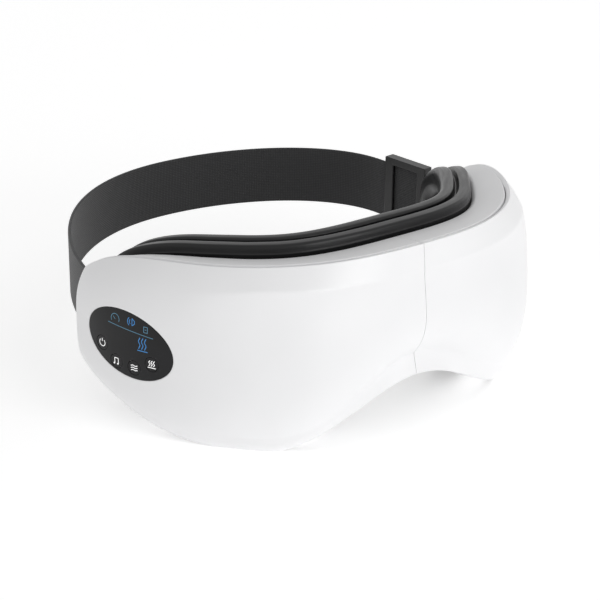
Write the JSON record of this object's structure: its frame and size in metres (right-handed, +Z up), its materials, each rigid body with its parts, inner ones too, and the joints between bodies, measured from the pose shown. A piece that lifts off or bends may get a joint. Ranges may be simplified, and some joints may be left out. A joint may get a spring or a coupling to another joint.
{
  "type": "eye massager mask",
  "caption": "Folding eye massager visor with a white two-part front shell, black face cushion, oval touch panel of keys and display, and an elastic head strap.",
  "frame": {"origin": "centre of the bounding box, on the table", "axes": "+Z up, the front shell looks toward -Y, the control panel is on the -X temple"},
  "size_m": [0.1964, 0.1836, 0.077],
  "materials": {
    "white_shell": "satin gloss",
    "grey_frame": "fine matt",
    "black_cushion": "soft satin",
    "black_lining": "matt",
    "heating_film": "satin",
    "bladder_film": "satin",
    "black_lens": "gloss",
    "key_black": "gloss",
    "display": "gloss",
    "circuit_board": "satin",
    "switch_metal": "satin",
    "steel": "satin",
    "carrier_plastic": "matt",
    "dark_plastic": "matt",
    "buckle_black": "satin",
    "battery_foil": "satin",
    "brass": "satin",
    "soft_tube": "satin",
    "strap_web": "woven matt"
  },
  "bodies": {
    "left_half": {"shell_left": "white_shell", "frame_left": "grey_frame", "cushion_left": "black_cushion", "lining_left": "black_lining", "heater_left": "heating_film", "bladder_left": "bladder_film", "panel_lens": "black_lens", "display_module": "display", "display_board": "circuit_board", "key_switches": "switch_metal", "hinge_leaf_left": "steel", "hinge_pin": "steel", "hinge_screws_left": "steel", "carrier_left": "carrier_plastic", "carrier_screws_left": "steel", "main_board": "circuit_board", "speaker": "dark_plastic", "vib_motor_left": "steel", "charge_board": "circuit_board", "charge_socket": "steel", "air_line_cross": "soft_tube", "strap": "strap_web", "strap_anchor_left": "dark_plastic", "strap_pin_left": "steel"},
    "right_half": {"shell_right": "white_shell", "frame_right": "grey_frame", "cushion_right": "black_cushion", "lining_right": "black_lining", "heater_right": "heating_film", "bladder_right": "bladder_film", "hinge_leaf_right": "steel", "hinge_screws_right": "steel", "carrier_right": "carrier_plastic", "carrier_screws_right": "steel", "battery": "battery_foil", "pump_body": "dark_plastic", "pump_tube": "soft_tube", "valve_body": "dark_plastic", "vib_motor_right": "steel", "air_line_right": "soft_tube", "strap_anchor_right": "dark_plastic", "strap_pin_right": "steel"},
    "key_power": {"key_power": "key_black"},
    "key_music": {"key_music": "key_black"},
    "key_mode": {"key_mode": "key_black"},
    "key_heat": {"key_heat": "key_black"},
    "pump_crank": {"pump_crank": "brass"},
    "valve_plunger": {"valve_plunger": "steel"},
    "vib_weight_left": {"vib_weight_left": "brass"},
    "vib_weight_right": {"vib_weight_right": "brass"},
    "buckle": {"buckle": "buckle_black"}
  },
  "joints": [
    {"name": "fold", "type": "hinge", "parent": "left_half", "child": "right_half", "pos_m": [0, -0.072, 0.05], "axis": [0, 0, 1], "range_deg": [0, 75], "deforming": ["strap", "cushion_left", "cushion_right", "lining_left", "lining_right", "air_line_cross"]},
    {"name": "key_power_press", "type": "slide", "parent": "left_half", "child": "key_power", "axis": [0.9245, 0.3811, 0], "range_m": [0, 0.00035], "stiffness_N_per_m": 1500},
    {"name": "key_music_press", "type": "slide", "parent": "left_half", "child": "key_music", "axis": [0.9245, 0.3811, 0], "range_m": [0, 0.00035], "stiffness_N_per_m": 1500},
    {"name": "key_mode_press", "type": "slide", "parent": "left_half", "child": "key_mode", "axis": [0.9245, 0.3811, 0], "range_m": [0, 0.00035], "stiffness_N_per_m": 1500},
    {"name": "key_heat_press", "type": "slide", "parent": "left_half", "child": "key_heat", "axis": [0.9245, 0.3811, 0], "range_m": [0, 0.00035], "stiffness_N_per_m": 1500},
    {"name": "buckle_slide", "type": "slide", "parent": "right_half", "child": "buckle", "axis": [-0.1067, 0.9943, 0], "range_m": [-0.008, 0.006]},
    {"name": "pump_spin", "type": "hinge", "parent": "right_half", "child": "pump_crank", "pos_m": [0.05883, -0.06459, 0.039], "axis": [0, 0, 1], "continuous": true},
    {"name": "valve_slide", "type": "slide", "parent": "right_half", "child": "valve_plunger", "axis": [0.8322, 0.5545, 0], "range_m": [0, 0.0015], "stiffness_N_per_m": 200},
    {"name": "vib_spin_left", "type": "hinge", "parent": "left_half", "child": "vib_weight_left", "pos_m": [-0.04368, -0.07107, 0.0185], "axis": [-0.8322, 0.5545, 0], "continuous": true},
    {"name": "vib_spin_right", "type": "hinge", "parent": "right_half", "child": "vib_weight_right", "pos_m": [0.04368, -0.07107, 0.0185], "axis": [0.8322, 0.5545, 0], "continuous": true}
  ]
}
